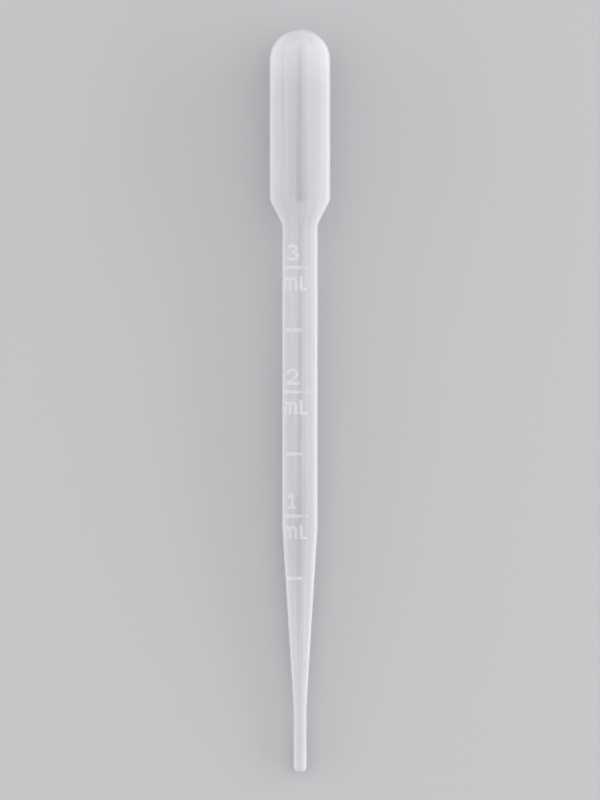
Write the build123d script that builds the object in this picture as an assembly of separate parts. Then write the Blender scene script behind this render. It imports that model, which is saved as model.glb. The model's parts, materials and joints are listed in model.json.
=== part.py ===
from build123d import *
import math
import os

# A dropper pipette blown in one piece: a square-cut tip, a tapered nose, a graduated stem,
# a shoulder and a squeeze bulb closed by a half ball. All sizes are in millimetres.

# Outside, in order from the tip to the crown
tip_diameter = 2.9
tip_length = 13.8
taper_length = 38.6
stem_diameter = 7.7
stem_length = 65.5
shoulder_length = 5.2
bulb_diameter = 13.1
bulb_length = 30.35

# Wall thickness, which the blowing leaves uneven
tip_wall = 0.5
stem_wall = 0.4
bulb_wall = 0.45
crown_wall = 0.9

# Radii of the blends above the tip and at both ends of the shoulder
nose_blend = 25.0
shoulder_blend = 3.0

# Parting line: a fine ridge where the two mould halves meet
seam_width = 0.2
seam_height = 0.1

# Graduation: low raised lines with a rounded top, alike on both mould halves
mark_volume = 500.0
mark_count = 6
top_mark_drop = 9.3
mark_height = 0.15
mark_width = 0.65
short_mark_sweep = 48.0
long_mark_sweep = 114.0

# How far the marks have rolled away from the top as the pipette lies, in degrees
rest_roll = 26.0

# Radii and heights; while the solid is made, its axis runs up Z from the tip
tip_radius = tip_diameter / 2
stem_radius = stem_diameter / 2
bulb_radius = bulb_diameter / 2
tip_bore_radius = tip_radius - tip_wall
stem_bore_radius = stem_radius - stem_wall
bulb_bore_radius = bulb_radius - bulb_wall
stem_start = tip_length + taper_length
stem_end = stem_start + stem_length
bulb_start = stem_end + shoulder_length
bulb_end = bulb_start + bulb_length
shoulder_angle = math.atan2(bulb_radius - stem_radius, shoulder_length)
corner_shift = math.tan(shoulder_angle / 2)

# Each mark up the stem adds one mark volume to what the pipette holds
mark_step = mark_volume / (math.pi * stem_bore_radius**2)
top_mark = stem_end - top_mark_drop
mark_heights = [top_mark - mark_step * steps_down for steps_down in range(mark_count)]

# A mark is the top of a circle that stands mark_height proud and is mark_width across
mark_rounding = (mark_width**2 / 4 + mark_height**2) / (2 * mark_height)


def outside(grow=0.0):
    """Half of the outer outline, from the axis outwards; grow moves it out from the wall."""
    wall_line = FilletPolyline(
        (tip_radius + grow, 0),
        (tip_radius + grow, tip_length),
        (stem_radius + grow, stem_start),
        (stem_radius + grow, stem_end),
        (bulb_radius + grow, bulb_start),
        (bulb_radius + grow, bulb_end),
        radius=[nose_blend, 0, shoulder_blend, shoulder_blend],
    )
    dome_line = CenterArc((0, bulb_end), bulb_radius + grow, 0, 90)
    axis_line = Polyline(dome_line @ 1, (0, 0), wall_line @ 0)
    return Plane.XZ * make_face(wall_line + dome_line + axis_line)


def inside():
    """Half of the cavity's outline; it starts below the cut end, so that the tip is open.

    The cavity's half ball sits lower than the outer one, so the wall thickens to the crown.
    """
    dome_base = bulb_end + bulb_wall - crown_wall
    wall_line = FilletPolyline(
        (tip_bore_radius, -tip_wall),
        (tip_bore_radius, tip_length),
        (stem_bore_radius, stem_start),
        (stem_bore_radius, stem_end + stem_wall * corner_shift),
        (bulb_bore_radius, bulb_start + bulb_wall * corner_shift),
        (bulb_bore_radius, dome_base),
        radius=[nose_blend, 0, shoulder_blend, shoulder_blend],
    )
    dome_line = CenterArc((0, dome_base), bulb_bore_radius, 0, 90)
    axis_line = Polyline(dome_line @ 1, (0, -tip_wall), wall_line @ 0)
    return Plane.XZ * make_face(wall_line + dome_line + axis_line)


def outer_radius(height):
    """Radius of the outer wall at a height between the tip and the shoulder."""
    share = min(max((height - tip_length) / taper_length, 0), 1)
    return tip_radius + share * (stem_radius - tip_radius)


def mark(height, sweep):
    """One graduation line, part sunk in the wall and centred on -Y."""
    middle = Pos(outer_radius(height) + mark_height - mark_rounding, height)
    section = Plane.XZ * middle * Circle(mark_rounding)
    return Rot(Z=-90 - sweep / 2) * revolve(section, Axis.Z, sweep)


# Body: the outer form with its parting ridges and marks, then the cavity taken out
pipette = revolve(outside(), Axis.Z)
ridge = extrude(outside(seam_height), seam_width / 2, both=True)
pipette += ridge + mirror(ridge, about=Plane.YZ)
for steps_down, height in enumerate(mark_heights):
    whole_millilitre = steps_down % 2 == 0
    line = mark(height, long_mark_sweep if whole_millilitre else short_mark_sweep)
    pipette += line
    pipette += Rot(Z=180) * line
pipette -= revolve(inside(), Axis.Z)

# Rest: the bulb's lower edge is on the table, and so is one spot nearer the tip
edge_height = bulb_start + shoulder_blend * corner_shift
edge_radius = bulb_radius - shoulder_blend


def lean(height, radius, rounding):
    """Tilt in radians at which the bulb's edge and this rounded spot touch the table."""
    along = edge_height - height
    across = edge_radius - radius
    gap = math.hypot(along, across)
    return math.atan2(across, along) + math.asin((shoulder_blend - rounding) / gap)


spots = [
    (height, outer_radius(height) + mark_height - mark_rounding, mark_rounding)
    for height in mark_heights
]
spots += [(stem_start, stem_radius, 0), (0, tip_radius, 0)]
rest_tilt = min(lean(*spot) for spot in spots)
axis_height = shoulder_blend + edge_radius * math.cos(rest_tilt) - edge_height * math.sin(rest_tilt)

# Placing: the axis turns from Z to Y, bulb first, and the origin goes under the middle
lay_down = Pos(0, 0, axis_height) * Rot(X=math.degrees(rest_tilt) - 90) * Rot(Z=-rest_roll)
middle = (lay_down * pipette).bounding_box().center().Y
placing = Pos(0, -middle, 0) * lay_down
pipette = placing * pipette

os.makedirs("parts", exist_ok=True)
export_step(pipette, "parts/pipette.step")

# The places that the mounts need
print("tilt in degrees", math.degrees(rest_tilt))
print("axis direction", (placing * Pos(0, 0, 1)).position - placing.position)
for name, height in [("tip", 0), ("stem start", stem_start), ("stem end", stem_end)]:
    print(name, (placing * Pos(0, 0, height)).position)
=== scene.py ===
import json
import math

import bmesh
import bpy
from mathutils import Matrix, Vector


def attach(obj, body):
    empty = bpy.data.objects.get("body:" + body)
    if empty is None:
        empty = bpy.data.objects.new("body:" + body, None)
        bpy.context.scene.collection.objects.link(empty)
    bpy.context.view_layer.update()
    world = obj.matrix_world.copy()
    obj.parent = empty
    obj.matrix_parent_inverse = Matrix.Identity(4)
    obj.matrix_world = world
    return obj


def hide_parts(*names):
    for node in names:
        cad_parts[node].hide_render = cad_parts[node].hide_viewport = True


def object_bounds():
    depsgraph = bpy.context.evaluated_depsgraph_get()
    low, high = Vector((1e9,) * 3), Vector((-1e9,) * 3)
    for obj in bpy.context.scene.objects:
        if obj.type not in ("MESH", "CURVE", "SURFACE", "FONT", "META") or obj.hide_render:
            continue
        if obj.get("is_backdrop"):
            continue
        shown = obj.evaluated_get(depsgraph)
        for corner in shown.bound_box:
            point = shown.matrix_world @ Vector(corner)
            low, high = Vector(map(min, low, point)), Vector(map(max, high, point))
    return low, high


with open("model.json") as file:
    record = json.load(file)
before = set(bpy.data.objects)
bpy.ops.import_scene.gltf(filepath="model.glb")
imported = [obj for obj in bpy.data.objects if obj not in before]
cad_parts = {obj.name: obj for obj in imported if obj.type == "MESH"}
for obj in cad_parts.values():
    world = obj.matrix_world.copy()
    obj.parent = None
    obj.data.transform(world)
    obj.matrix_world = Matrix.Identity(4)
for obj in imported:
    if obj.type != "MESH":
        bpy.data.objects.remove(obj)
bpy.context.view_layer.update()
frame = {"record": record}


# The pipette: one tube of low-density polyethylene, blown in a two-part mould into a tip, a
# tapered nose, a graduated stem and a squeeze bulb, then cut off square at the tip. Its wall
# is drawn first as one closed outline in millimetres, with the axis up Z, and spun round.
tip_radius, tip_bore, tip_wall, tip_length = 1.45, 0.95, 0.5, 13.8
stem_radius, stem_bore, stem_wall, stem_start, stem_end = 3.85, 3.45, 0.4, 52.4, 117.9
bulb_radius, bulb_bore, bulb_wall, bulb_start, bulb_end = 6.55, 6.10, 0.45, 123.1, 153.45
cavity_end = 153.0

# How far a rounding reaches from its corner. At the shoulder that is the rounding's radius
# times the tangent of half the turn, and the bore's corners lie higher by the wall times it.
half_turn = 0.244
shoulder_reach = 3 * half_turn
nose_reach_outside, nose_reach_inside = 0.78, 0.81
steps_over_crown, steps_round = 30, 84

wall = bmesh.new()


def draw_outline(corners, dome_base, reaches):
    """One side of the wall from the tip to the crown: straight runs, rounded corners, half ball."""
    points = [wall.verts.new((radius, 0, height)) for radius, height in corners]
    for low, high in zip(points, points[1:]):
        wall.edges.new((low, high))
    bmesh.ops.spin(
        wall,
        geom=[points[-1]],
        cent=(0, 0, dome_base),
        axis=(0, -1, 0),
        angle=math.pi / 2,
        steps=steps_over_crown,
    )
    for point, reach in zip(points[1:], reaches):
        if reach:
            bmesh.ops.bevel(
                wall,
                geom=[point],
                offset=reach,
                offset_type="OFFSET",
                segments=6,
                profile=0.5,
                affect="VERTICES",
                material=-1,
            )
    return points[0]


outer_foot = draw_outline(
    [
        (tip_radius, 0),
        (tip_radius, tip_length),
        (stem_radius, stem_start),
        (stem_radius, stem_end),
        (bulb_radius, bulb_start),
        (bulb_radius, bulb_end),
    ],
    bulb_end,
    [nose_reach_outside, 0, shoulder_reach, shoulder_reach],
)
inner_foot = draw_outline(
    [
        (tip_bore, 0),
        (tip_bore, tip_length),
        (stem_bore, stem_start),
        (stem_bore, stem_end + stem_wall * half_turn),
        (bulb_bore, bulb_start + bulb_wall * half_turn),
        (bulb_bore, cavity_end),
    ],
    cavity_end,
    [nose_reach_inside, 0, shoulder_reach, shoulder_reach],
)
wall.edges.new((outer_foot, inner_foot))

# Six graduations, from 3 mL downwards; the outline gets points at even steps along the wall,
# and close together where the lines and figures will stand.
top_mark, mark_step = 108.6, 13.37
mark_heights = [top_mark - mark_step * steps_down for steps_down in range(6)]
row_step, fine_row_step = 1.2, 0.25
rows_at_figures, rows_at_bare_line = 21, 3
half_wall = 0.2


def outer_radius(height):
    """Radius of the outside of the wall, between the tip and the shoulder."""
    share = min(max((height - tip_length) / (stem_start - tip_length), 0), 1)
    return tip_radius + share * (stem_radius - tip_radius)


def cut_row(height, lines):
    bmesh.ops.bisect_plane(
        wall,
        geom=lines,
        dist=0.02,
        plane_co=(0, 0, height),
        plane_no=(0, 0, 1),
    )


for row in range(1, int(bulb_end / row_step)):
    cut_row(row_step * row, wall.verts[:] + wall.edges[:])
for steps_down, height in enumerate(mark_heights):
    reach = rows_at_figures if steps_down % 2 == 0 else rows_at_bare_line
    for row in range(-reach, reach + 1):
        outside = [
            edge
            for edge in wall.edges
            if all(point.co.x > outer_radius(point.co.z) - half_wall for point in edge.verts)
        ]
        cut_row(height + fine_row_step * row, outside)

bmesh.ops.spin(
    wall,
    geom=wall.verts[:] + wall.edges[:],
    cent=(0, 0, 0),
    axis=(0, 0, 1),
    angle=math.tau,
    steps=steps_round,
    use_merge=True,
)
bmesh.ops.remove_doubles(wall, verts=wall.verts[:], dist=0.001)
bmesh.ops.recalc_face_normals(wall, faces=wall.faces[:])


# Parting lines: where the two mould halves met, a fine ridge runs up both sides and over the crown.
# A band along each ridge is counted as extra wall so that it renders whiter: a painted highlight
# for the bright band of light down the right edge, where the roll below brings one ridge. The wall
# is cut along each side of the ridge and of the band, and how thick it is, painted highlight
# included, and how round is noted at every point.
ridge_half_width, ridge_height = 0.1, 0.1
# The band's extra wall is a painted highlight, not plastic that is there.
band_half_width, band_painted_highlight = 0.45, 0.4
crown_start, crown_depth, crown_thickening = 145, 14, 0.3
inside_skin = 0.05
cut_end_zone = 0.5

cuts = (0.06, ridge_half_width, 0.3, band_half_width)
for offset in sorted([0, *cuts, *(-cut for cut in cuts)]):
    bmesh.ops.bisect_plane(
        wall,
        geom=wall.verts[:] + wall.edges[:] + wall.faces[:],
        dist=0.001,
        plane_co=(0, offset, 0),
        plane_no=(0, 1, 0),
    )


def wall_at(height):
    """How thick the wall is at a height; it swells towards the crown."""
    taper = min(max((height - tip_length) / (stem_start - tip_length), 0), 1)
    bulb = min(max((height - stem_end) / (bulb_start - stem_end), 0), 1)
    crown = min(max((height - crown_start) / crown_depth, 0), 1)
    tube = tip_wall + (stem_wall - tip_wall) * taper + (bulb_wall - stem_wall) * bulb
    return tube + crown_thickening * crown * crown * (3 - 2 * crown)


wall.normal_update()
wall_and_highlight = wall.verts.layers.float.new("wall_and_highlight_mm")
roundness = wall.verts.layers.float.new("radius_mm")
for point in wall.verts:
    aside = math.hypot(point.co.x, point.co.y)
    from_crown = Vector((point.co.x, point.co.y, max(point.co.z - bulb_end, 0)))
    outward = point.normal.copy()
    if point.co.z < cut_end_zone:
        outward.z = 0
        outward.normalize()
    point[roundness] = bulb_radius if point.co.z > bulb_end else aside
    if outward.dot(from_crown) > 0:
        band = max(1 - (point.co.y / band_half_width) ** 2, 0)
        # The band along the parting line counts as thicker wall so it renders whiter: a painted
        # highlight.
        point[wall_and_highlight] = wall_at(point.co.z) + band_painted_highlight * band
        if abs(point.co.y) < ridge_half_width and aside > 0:
            rise = ridge_height * (1 - (point.co.y / ridge_half_width) ** 2)
            point.co += outward * rise
            point[wall_and_highlight] += 2 * rise
    else:
        point[wall_and_highlight] = inside_skin


# Graduation: lines, numerals and unit letters are cut in both mould halves, so they stand
# proud of the stem as rounded strokes. Each stroke is laid out flat, in millimetres round
# the stem and up it, and the wall near it is divided finely and lifted. Both sides of each
# stroke are also counted as extra wall so that they render as bright lines: a painted highlight.
def bow(across, up, width, height, start, end, steps=14):
    """Points on part of an oval, from the start angle to the end angle in degrees."""
    angles = [math.radians(start + (end - start) * step / steps) for step in range(steps + 1)]
    return [(across + width * math.cos(a), up + height * math.sin(a)) for a in angles]


numerals = {
    3: [bow(-0.1, 2.2, 1.15, 0.72, 135, -80) + bow(-0.1, 0.76, 1.4, 0.76, 80, -135)],
    2: [bow(0, 2.06, 1.2, 0.86, 165, -38) + [(-1.35, 0), (1.4, 0)]],
    1: [[(-0.8, 2.25), (0.05, 2.92), (0.05, 0)], [(-0.7, 0), (0.8, 0)]],
}
unit = [
    [(-1.95, 0), (-1.95, 2.3)],
    bow(-1.21, 1.58, 0.74, 0.72, 180, 0) + [(-0.47, 0)],
    bow(0.22, 1.58, 0.69, 0.72, 180, 0) + [(0.91, 0)],
    [(1.95, 2.6), (1.95, 0), (3.0, 0)],
]
numeral_rise, unit_drop = 1.8, 4.65
figure_relief, figure_half_width = 0.1, 0.27

# A line is one or two stretches, each from an angle to an angle in degrees from the middle
# of its mould half, with its relief: a long line runs out shallow at its right end.
line_relief, run_out_relief, line_half_width = 0.15, 0.04, 0.33
long_line = [(-53, 28, line_relief), (28, 52, run_out_relief)]
short_line = [(-17, 28, line_relief)]
lowest_line = [(-37, 28, line_relief)]

strokes = []
for line, height in zip([long_line, short_line] * 2 + [long_line, lowest_line], mark_heights):
    for start, end, relief in line:
        ends = [(math.radians(angle) * outer_radius(height), height) for angle in (start, end)]
        strokes.append((ends, relief, line_half_width))
for millilitres, height in zip((3, 2, 1), mark_heights[::2]):
    figures = [(stroke, numeral_rise) for stroke in numerals[millilitres]]
    figures += [(stroke, -unit_drop) for stroke in unit]
    for stroke, rise in figures:
        laid = [(across, up + height + rise) for across, up in stroke]
        strokes.append((laid, figure_relief, figure_half_width))

runs = [
    (Vector(start), Vector(end), relief, half_width)
    for stroke, relief, half_width in strokes
    for start, end in zip(stroke, stroke[1:])
]
far_from_run, nothing_near = 3, (-9.0, 0.0, 1.0)
below_last_mark, above_top_mark = 1, 5.5
crowding_margin = 0.2
# How much whiter the sides of a stroke are painted, and over what width: a painted highlight.
slope_width, slope_painted_highlight = 0.2, 0.75


def laid_flat(point):
    """Where a point of the stem falls on the flat layout of the mould half that it is in."""
    front = point.copy() if point.y < 0 else Vector((-point.x, -point.y, point.z))
    around = math.atan2(front.x, -front.y)
    return Vector((around * outer_radius(point.z), point.z))


def nearest_stroke(point):
    """How far inside the nearest stroke's side a point is, its height and its half width."""
    spot = laid_flat(point)
    best = nothing_near
    for start, end, relief, half_width in runs:
        if min(abs(spot.y - start.y), abs(spot.y - end.y)) > far_from_run:
            continue
        along_run = end - start
        share = min(max((spot - start).dot(along_run) / along_run.length_squared, 0), 1)
        inside = half_width - (spot - start - along_run * share).length
        best = max(best, (inside, relief, half_width))
    return best


def on_stem_outside(point):
    lowest, highest = mark_heights[-1] - below_last_mark, mark_heights[0] + above_top_mark
    in_reach = lowest < point.z < highest
    return in_reach and math.hypot(point.x, point.y) > outer_radius(point.z) - half_wall


for edge in wall.edges:
    edge.tag = False
for face in wall.faces:
    middle = face.calc_center_median()
    if on_stem_outside(middle) and nearest_stroke(middle)[0] > -crowding_margin:
        for edge in face.edges:
            edge.tag = True
crowded = [edge for edge in wall.edges if edge.tag]
bmesh.ops.subdivide_edges(wall, edges=crowded, cuts=2, use_grid_fill=True)
for point in wall.verts:
    if on_stem_outside(point.co) and abs(point.co.y) > band_half_width:
        inside, relief, half_width = nearest_stroke(point.co)
        share = min(max(inside / half_width, 0), 1)
        lift = relief * math.sin(math.pi / 2 * share) ** 2
        slope = math.sin(math.pi * min(inside / slope_width, 1)) if inside > 0 else 0
        steepness = min(relief / figure_relief, 1)
        scale = 1 + lift / math.hypot(point.co.x, point.co.y)
        point.co.x *= scale
        point.co.y *= scale
        # The lift is plastic that is there; the slope term is a painted highlight along the
        # stroke's sides.
        point[wall_and_highlight] = wall_at(point.co.z) + lift + slope_painted_highlight * steepness * slope

# At rest: the tip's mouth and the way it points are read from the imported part, and the
# pipette is rolled a little to one side, as it comes to lie.
mouth = next(mount for mount in frame["record"]["mounts"] if mount["name"] == "tip_mouth")
lengthwise = -Vector(mouth["axis"]).normalized()
tilt, roll = math.asin(lengthwise.z), math.radians(-26)
lie_down = Matrix.Rotation(tilt - math.pi / 2, 4, "X") @ Matrix.Rotation(roll, 4, "Z")
for face in wall.faces:
    on_cut_end = all(point.co.z < 0.001 for point in face.verts)
    face.smooth = not on_cut_end
wall.transform(Matrix.Translation(mouth["pos_m"]) @ lie_down @ Matrix.Scale(0.001, 4))
wall.normal_update()

pipette_mesh = bpy.data.meshes.new("pipette_body")
wall.to_mesh(pipette_mesh)
wall.free()
pipette = bpy.data.objects.new("pipette_body", pipette_mesh)
bpy.context.scene.collection.objects.link(pipette)

# Its plastic is milky: a wall hides more of what is behind it the more plastic sight passes
# through, so it is whiter at the crown, on raised strokes and down each side, where the wall
# is seen edge on. The band along the parting line and the sides of the strokes are counted as
# extra wall, so they render whiter too: painted highlights. Blowing draws it out lengthwise,
# which leaves streaks along it.
plastic = bpy.data.materials.new("milky_polyethylene")
plastic.use_nodes = True
nodes, links = plastic.node_tree.nodes, plastic.node_tree.links


def sum_node(operation, first, second=None):
    """A Math node; each input is a number or another node's output."""
    node = nodes.new("ShaderNodeMath")
    node.operation = operation
    for socket, value in zip(node.inputs, (first, second)):
        if isinstance(value, bpy.types.NodeSocket):
            links.new(value, socket)
        elif value is not None:
            socket.default_value = value
    return node.outputs["Value"]


# Streaks and haze follow the pipette's own axis, which the Mapping node lays along Y; the
# streaks are drawn out by reading them from the way round and, much slower, the way along.
streaks_round, streaks_along = 5.0, 14.0
where = nodes.new("ShaderNodeTexCoord")
straighten = nodes.new("ShaderNodeMapping")
tip_x, tip_y, tip_z = Matrix.Rotation(-tilt, 3, "X") @ Vector(mouth["pos_m"])
straighten.inputs["Location"].default_value = (-tip_x, -tip_y, -tip_z)
straighten.inputs["Rotation"].default_value = (-tilt, 0, 0)
links.new(where.outputs["Object"], straighten.inputs["Vector"])
axes = nodes.new("ShaderNodeSeparateXYZ")
links.new(straighten.outputs["Vector"], axes.inputs["Vector"])
spoke = nodes.new("ShaderNodeCombineXYZ")
links.new(axes.outputs["X"], spoke.inputs["X"])
links.new(axes.outputs["Z"], spoke.inputs["Y"])
spread = nodes.new("ShaderNodeVectorMath")
spread.operation = "NORMALIZE"
links.new(spoke.outputs["Vector"], spread.inputs[0])
along = nodes.new("ShaderNodeCombineXYZ")
links.new(sum_node("MULTIPLY", axes.outputs["Y"], streaks_along), along.inputs["Z"])
drawn_out = nodes.new("ShaderNodeVectorMath")
drawn_out.operation = "MULTIPLY_ADD"
drawn_out.inputs[1].default_value = (streaks_round, streaks_round, 0)
links.new(spread.outputs["Vector"], drawn_out.inputs[0])
links.new(along.outputs["Vector"], drawn_out.inputs[2])
streaks = nodes.new("ShaderNodeTexNoise")
streaks.inputs["Scale"].default_value = 1.0
streaks.inputs["Detail"].default_value = 1.2
links.new(drawn_out.outputs["Vector"], streaks.inputs["Vector"])
haze = nodes.new("ShaderNodeTexNoise")
haze.inputs["Scale"].default_value = 160.0
haze.inputs["Detail"].default_value = 2.0
links.new(straighten.outputs["Vector"], haze.inputs["Vector"])

# The way that sight takes through a round wall is a chord of it, worked out from how thick
# the wall is noted to be, painted highlights included, how round, and how squarely it is seen;
# the plastic hides by that length.
milkiness_per_mm, evenness, streak_strength = 2.5, 0.44, 0.3
wall_and_highlight_attribute = nodes.new("ShaderNodeAttribute")
wall_and_highlight_attribute.attribute_name = "wall_and_highlight_mm"
radius_mm = nodes.new("ShaderNodeAttribute")
radius_mm.attribute_name = "radius_mm"
slant = nodes.new("ShaderNodeLayerWeight")
slant.inputs["Blend"].default_value = 0.5
squarely = sum_node("SUBTRACT", 1.0, slant.outputs["Facing"])
wall_share = sum_node("DIVIDE", wall_and_highlight_attribute.outputs["Fac"], radius_mm.outputs["Fac"])
ring = sum_node("MULTIPLY", wall_share, sum_node("SUBTRACT", 2.0, wall_share))
past_bore = sum_node("SUBTRACT", sum_node("MULTIPLY", squarely, squarely), ring)
chord = sum_node("SUBTRACT", squarely, sum_node("SQRT", sum_node("MAXIMUM", past_bore, 0.0)))
passed = sum_node("MULTIPLY", chord, radius_mm.outputs["Fac"])
uneven = sum_node("ADD", sum_node("MULTIPLY", streaks.outputs["Fac"], streak_strength), evenness)
dimming = sum_node("MULTIPLY", uneven, -milkiness_per_mm)
hidden = sum_node("SUBTRACT", 1.0, sum_node("EXPONENT", sum_node("MULTIPLY", passed, dimming)))

thin_colour = nodes.new("ShaderNodeValToRGB")
thin_colour.color_ramp.elements[0].position = 0.3
thin_colour.color_ramp.elements[0].color = (0.85, 0.85, 0.89, 1)
thin_colour.color_ramp.elements[1].position = 0.7
thin_colour.color_ramp.elements[1].color = (0.89, 0.89, 0.925, 1)
links.new(streaks.outputs["Fac"], thin_colour.inputs["Fac"])
# Whiter where the noted wall is thicker, the painted highlights on the parting line and stroke
# sides included.
whiteness = nodes.new("ShaderNodeMapRange")
whiteness.inputs["From Min"].default_value = 0.45
whiteness.inputs["From Max"].default_value = 0.90
links.new(wall_and_highlight_attribute.outputs["Fac"], whiteness.inputs["Value"])
milky_colour = nodes.new("ShaderNodeMix")
milky_colour.data_type = "RGBA"
milky_colour.inputs["B"].default_value = (0.94, 0.935, 0.965, 1)
links.new(whiteness.outputs["Result"], milky_colour.inputs["Factor"])
links.new(thin_colour.outputs["Color"], milky_colour.inputs["A"])
frosting = nodes.new("ShaderNodeMapRange")
frosting.inputs["To Min"].default_value = 0.12
frosting.inputs["To Max"].default_value = 0.22
links.new(haze.outputs["Fac"], frosting.inputs["Value"])
ripple = nodes.new("ShaderNodeBump")
ripple.inputs["Strength"].default_value = 0.18
ripple.inputs["Distance"].default_value = 0.00004
links.new(streaks.outputs["Fac"], ripple.inputs["Height"])

refraction = 1.51
milk = nodes["Principled BSDF"]
milk.inputs["IOR"].default_value = refraction
links.new(milky_colour.outputs["Result"], milk.inputs["Base Color"])
links.new(frosting.outputs["Result"], milk.inputs["Roughness"])
links.new(ripple.outputs["Normal"], milk.inputs["Normal"])
glow = nodes.new("ShaderNodeBsdfTranslucent")
links.new(milky_colour.outputs["Result"], glow.inputs["Color"])
scattered = nodes.new("ShaderNodeMixShader")
scattered.inputs["Fac"].default_value = 0.25
links.new(milk.outputs["BSDF"], scattered.inputs[1])
links.new(glow.outputs["BSDF"], scattered.inputs[2])

gloss_share = nodes.new("ShaderNodeFresnel")
gloss_share.inputs["IOR"].default_value = refraction
links.new(ripple.outputs["Normal"], gloss_share.inputs["Normal"])
clear = nodes.new("ShaderNodeBsdfTransparent")
gloss = nodes.new("ShaderNodeBsdfAnisotropic")
links.new(frosting.outputs["Result"], gloss.inputs["Roughness"])
links.new(ripple.outputs["Normal"], gloss.inputs["Normal"])
skin = nodes.new("ShaderNodeMixShader")
links.new(gloss_share.outputs["Fac"], skin.inputs["Fac"])
links.new(clear.outputs["BSDF"], skin.inputs[1])
links.new(gloss.outputs["BSDF"], skin.inputs[2])
milk_and_skin = nodes.new("ShaderNodeMixShader")
links.new(hidden, milk_and_skin.inputs["Fac"])
links.new(skin.outputs["Shader"], milk_and_skin.inputs[1])
links.new(scattered.outputs["Shader"], milk_and_skin.inputs[2])
links.new(milk_and_skin.outputs["Shader"], nodes["Material Output"].inputs["Surface"])
pipette.data.materials.append(plastic)

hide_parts("pipette")
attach(pipette, "root")


# The floor: a plain pale grey sheet of card, darker than the milky plastic so that the
# plastic's edges show against it. It lies a hair low, clear of the letters under the stem.
floor_reach, floor_drop = 3.0, 0.00005
floor_mesh = bpy.data.meshes.new("floor")
sheet = bmesh.new()
bmesh.ops.create_grid(sheet, x_segments=1, y_segments=1, size=floor_reach)
bmesh.ops.translate(sheet, verts=sheet.verts[:], vec=(0, 0, -floor_drop))
sheet.to_mesh(floor_mesh)
sheet.free()
floor = bpy.data.objects.new("floor", floor_mesh)
bpy.context.scene.collection.objects.link(floor)
card = bpy.data.materials.new("pale_card")
card.use_nodes = True
card_shader = card.node_tree.nodes["Principled BSDF"]
card_shader.inputs["Base Color"].default_value = (0.52, 0.52, 0.53, 1)
card_shader.inputs["Roughness"].default_value = 0.9
card_shader.inputs["Specular IOR Level"].default_value = 0.1
floor.data.materials.append(card)
floor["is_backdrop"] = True


# Light: broad soft boxes on the left and the right, narrow low ones that light the edges,
# dimmer ones at both ends, and a dim even fill from all round. What the gloss reflects is
# lamps of its own, which leave a gap straight above for a fine dark streak down the middle.
box_distance = 0.62


def soft_box(name, axis, lean, size, power):
    """A soft box that faces the pipette's middle, swung about an axis by an angle in degrees."""
    lamp = bpy.data.lights.new(name, "AREA")
    lamp.shape = "RECTANGLE"
    lamp.size, lamp.size_y = size
    lamp.energy = power
    holder = bpy.data.objects.new(name, lamp)
    swing = Matrix.Rotation(math.radians(lean), 4, axis)
    holder.matrix_world = swing @ Matrix.Translation((0, 0, box_distance))
    holder.visible_camera = False
    bpy.context.scene.collection.objects.link(holder)
    return holder


for box in (
    ("box_left", "Y", -37, (0.72, 1.1), 1.7),
    ("box_right", "Y", 37, (0.72, 1.1), 1.75),
    ("edge_left", "Y", -76, (0.24, 1.1), 2.0),
    ("edge_right", "Y", 76, (0.24, 1.1), 3.1),
    ("bulb_end", "X", -58, (1.1, 0.5), 0.7),
    ("tip_end", "X", 58, (1.1, 0.5), 0.8),
):
    soft_box(*box).visible_glossy = False
for box in (
    ("sheen_left", "Y", -38, (0.62, 1.1), 2.7),
    ("sheen_right", "Y", 38, (0.62, 1.1), 2.7),
    ("sheen_bulb_end", "X", -62, (1.3, 0.5), 2.4),
    ("sheen_tip_end", "X", 62, (1.3, 0.5), 2.4),
):
    soft_box(*box).visible_diffuse = False

world = bpy.data.worlds.new("studio")
bpy.context.scene.world = world
world.use_nodes = True
fill = world.node_tree.nodes["Background"]
fill.inputs["Color"].default_value = (0.76, 0.76, 0.79, 1)
fill.inputs["Strength"].default_value = 0.4


# Camera: above, square to the pipette's own axis, with the bulb at the top.
camera_distance = 1.5
low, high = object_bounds()
centre = (Vector(low) + Vector(high)) / 2
lens = bpy.data.cameras.new("camera")
lens.lens = 209
lens.sensor_width = 24
camera = bpy.data.objects.new("camera", lens)
square_to_pipette = Matrix.Translation(centre) @ Matrix.Rotation(tilt, 4, "X")
camera.matrix_world = square_to_pipette @ Matrix.Translation((0, 0, camera_distance))
bpy.context.scene.collection.objects.link(camera)
bpy.context.scene.camera = camera
bpy.context.scene.view_settings.view_transform = "Standard"
